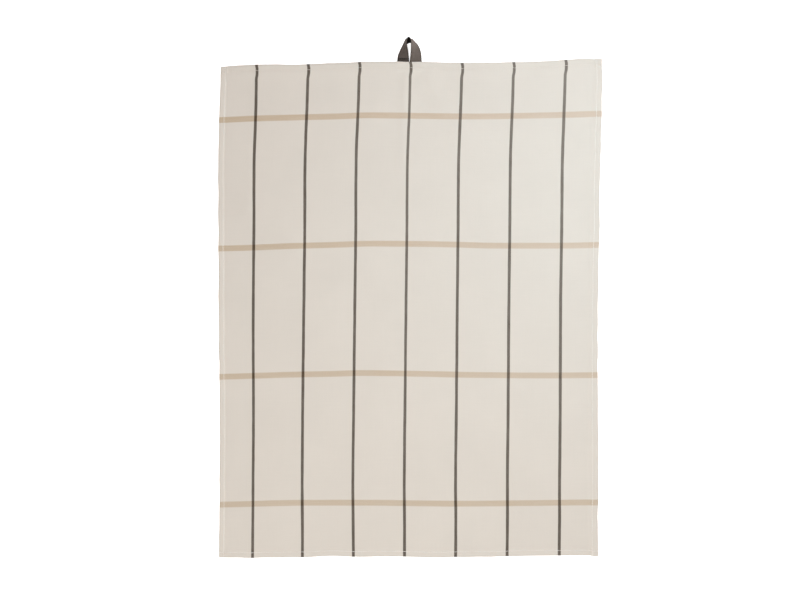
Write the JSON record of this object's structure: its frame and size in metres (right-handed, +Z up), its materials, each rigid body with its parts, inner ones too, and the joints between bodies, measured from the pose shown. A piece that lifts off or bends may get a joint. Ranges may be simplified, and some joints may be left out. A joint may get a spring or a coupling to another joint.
{
  "type": "tea towel",
  "caption": "Woven cotton tea towel laid out flat, with turned hems, a windowpane check of thin stripes and broad bands, and a tape hanging loop on its top edge.",
  "frame": {"origin": "middle of the towel's back, on the surface it lies on", "axes": "+Z up from the face of the cloth, +Y along the warp towards the edge with the loop, +X to the right seen from above"},
  "size_m": [0.5068, 0.6858, 0.0128],
  "materials": {
    "checked_cotton": "plain-woven undyed cotton, dry and matte, with dark stripes and beige bands",
    "loop_tape": "grey-brown woven cotton tape, matte"
  },
  "bodies": {
    "root": {"towel_cloth": "checked_cotton", "hanging_loop": "loop_tape"}
  },
  "joints": []
}
